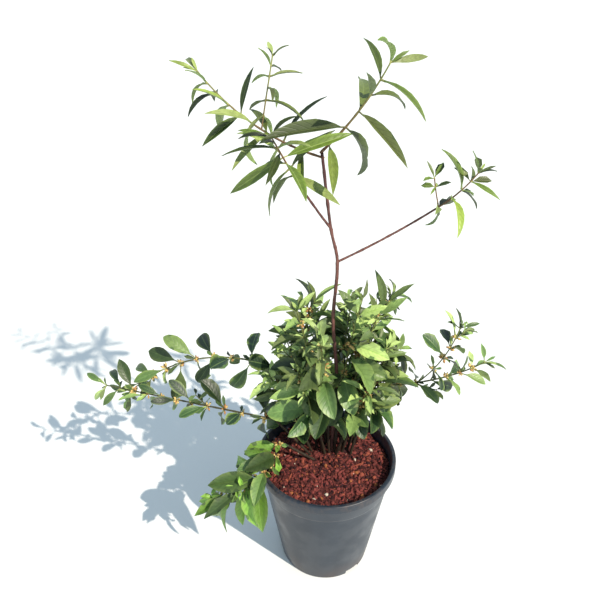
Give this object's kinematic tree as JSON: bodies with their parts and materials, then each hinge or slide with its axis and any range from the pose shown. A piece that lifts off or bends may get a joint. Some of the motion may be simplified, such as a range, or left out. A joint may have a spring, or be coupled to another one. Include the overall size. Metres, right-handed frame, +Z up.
{
  "type": "potted sandalwood sapling",
  "caption": "Slim leaning sandalwood sapling with a crown of lance-shaped leaves and a bushy low growth of oval and spoon-shaped leaves, standing in a round plastic nursery pot of soil.",
  "frame": {"origin": "centre of the pot's flat underside, at ground level", "axes": "+Z up along the pot's axis, -Y towards the side seen in the picture, +X to that view's right"},
  "size_m": [0.3739, 0.1531, 0.492],
  "materials": {
    "pot_plastic": "satin, moulded",
    "soil": "loose red-brown coir and soil crumbs",
    "bark": "thin smooth red-brown bark",
    "low_bark": "thin green-brown bark",
    "crown_leaf": "satin leaf, paler beneath",
    "low_leaf": "satin leaf, paler beneath"
  },
  "bodies": {
    "root": {"pot": "pot_plastic", "soil": "soil", "trunk": "bark", "bough_left": "bark", "bough_right": "bark", "crown_leader": "crown_leaf", "crown_left": "crown_leaf", "crown_long_left": "crown_leaf", "crown_right": "crown_leaf", "low_1_stem": "low_bark", "low_1_leaves": "low_leaf", "low_2_stem": "low_bark", "low_2_leaves": "low_leaf", "low_3_stem": "low_bark", "low_3_leaves": "low_leaf", "low_4_stem": "low_bark", "low_4_leaves": "low_leaf", "low_5_stem": "low_bark", "low_5_leaves": "low_leaf", "low_6_stem": "low_bark", "low_6_leaves": "low_leaf", "low_7_stem": "low_bark", "low_7_leaves": "low_leaf", "low_8_stem": "low_bark", "low_8_leaves": "low_leaf", "low_9_stem": "low_bark", "low_9_leaves": "low_leaf", "low_10_stem": "low_bark", "low_10_leaves": "low_leaf", "low_11_stem": "low_bark", "low_11_leaves": "low_leaf", "low_12_stem": "low_bark", "low_12_leaves": "low_leaf", "low_13_stem": "low_bark", "low_13_leaves": "low_leaf", "low_14_stem": "low_bark", "low_14_leaves": "low_leaf", "low_15_stem": "low_bark", "low_15_leaves": "low_leaf", "low_16_stem": "low_bark", "low_16_leaves": "low_leaf", "low_17_stem": "low_bark", "low_17_leaves": "low_leaf", "low_18_stem": "low_bark", "low_18_leaves": "low_leaf", "low_19_stem": "low_bark", "low_19_leaves": "low_leaf", "low_20_stem": "low_bark", "low_20_leaves": "low_leaf", "low_21_stem": "low_bark", "low_21_leaves": "low_leaf", "low_22_stem": "low_bark", "low_22_leaves": "low_leaf"}
  },
  "joints": []
}
